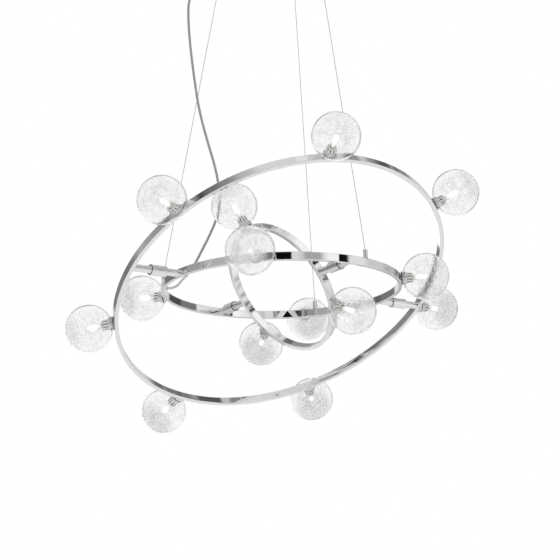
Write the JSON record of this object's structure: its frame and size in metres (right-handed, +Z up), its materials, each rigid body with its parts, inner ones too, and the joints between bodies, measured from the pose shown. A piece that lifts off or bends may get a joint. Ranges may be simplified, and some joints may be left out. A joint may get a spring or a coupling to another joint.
{
  "type": "pendant light",
  "caption": "Pendant light of concentric chrome ring tubes that turn on crossed pivots and carry glass globe lamps, hung on wires with a clear power cord.",
  "frame": {"origin": "middle of the bracket's upper face, against the ceiling, midway between the two fixing slots", "axes": "+Z up towards the ceiling, X along the bracket and along the outer ring's pivot axis, Y along the inner ring's pivot axis"},
  "size_m": [0.8167, 0.7222, 0.9625],
  "materials": {
    "chrome": "polished chrome plate",
    "dark_steel": "blackened steel",
    "zinc_steel": "zinc-plated sheet",
    "wire_steel": "fine stranded steel",
    "bush": "black low-friction plastic",
    "terminal_plastic": "moulded",
    "clear_plastic": "clear moulded",
    "cord_plastic": "clear sheath over tinned leads",
    "lead_insulation": "silicone insulation",
    "holder_ceramic": "unglazed beige ceramic",
    "bulb_glass": "frosted, warm white when lit",
    "globe_glass": "clear glass with a fine crackle"
  },
  "bodies": {
    "frame": {"ceiling_bracket": "zinc_steel", "canopy_cover": "chrome", "canopy_screws": "chrome", "terminal_block": "terminal_plastic", "ceiling_wire_grips": "chrome", "canopy_cord_grip": "clear_plastic", "suspension_wire_left": "wire_steel", "suspension_wire_right": "wire_steel", "suspension_wire_rear": "wire_steel", "ring_wire_grips": "chrome", "power_cord": "cord_plastic", "ring_cord_gland": "clear_plastic", "middle_ring": "chrome", "middle_ring_wiring": "lead_insulation", "globe_middle_1": "globe_glass", "globe_middle_2": "globe_glass", "globe_middle_3": "globe_glass", "globe_middle_4": "globe_glass", "lamp_cups_middle": "chrome", "lampholders_middle": "holder_ceramic", "bulbs_middle": "bulb_glass", "left_fixed_stub": "chrome", "left_barrel": "chrome", "left_bush": "bush", "right_turning_stub": "chrome", "far_fixed_stub": "chrome", "far_barrel": "chrome", "far_bush": "bush", "near_turning_stub": "chrome", "grub_screws_middle": "dark_steel"},
    "outer_ring": {"outer_ring": "chrome", "outer_ring_wiring": "lead_insulation", "globe_outer_1": "globe_glass", "globe_outer_2": "globe_glass", "globe_outer_3": "globe_glass", "globe_outer_4": "globe_glass", "globe_outer_5": "globe_glass", "globe_outer_6": "globe_glass", "globe_outer_7": "globe_glass", "lamp_cups_outer": "chrome", "lampholders_outer": "holder_ceramic", "bulbs_outer": "bulb_glass", "left_turning_stub": "chrome", "right_fixed_stub": "chrome", "right_barrel": "chrome", "right_bush": "bush", "grub_screws_outer": "dark_steel"},
    "inner_ring": {"inner_ring": "chrome", "inner_ring_wiring": "lead_insulation", "globe_inner_1": "globe_glass", "globe_inner_2": "globe_glass", "globe_inner_3": "globe_glass", "lamp_cups_inner": "chrome", "lampholders_inner": "holder_ceramic", "bulbs_inner": "bulb_glass", "far_turning_stub": "chrome", "near_fixed_stub": "chrome", "near_barrel": "chrome", "near_bush": "bush", "grub_screws_inner": "dark_steel"}
  },
  "joints": [
    {"name": "outer_ring_tilt", "type": "hinge", "parent": "frame", "child": "outer_ring", "pos_m": [0, 0.02, -0.72], "axis": [1, 0, 0], "range_deg": [-18, 24]},
    {"name": "inner_ring_tilt", "type": "hinge", "parent": "frame", "child": "inner_ring", "pos_m": [0, 0.02, -0.72], "axis": [0, -1, 0], "range_deg": [-107, 37]}
  ]
}
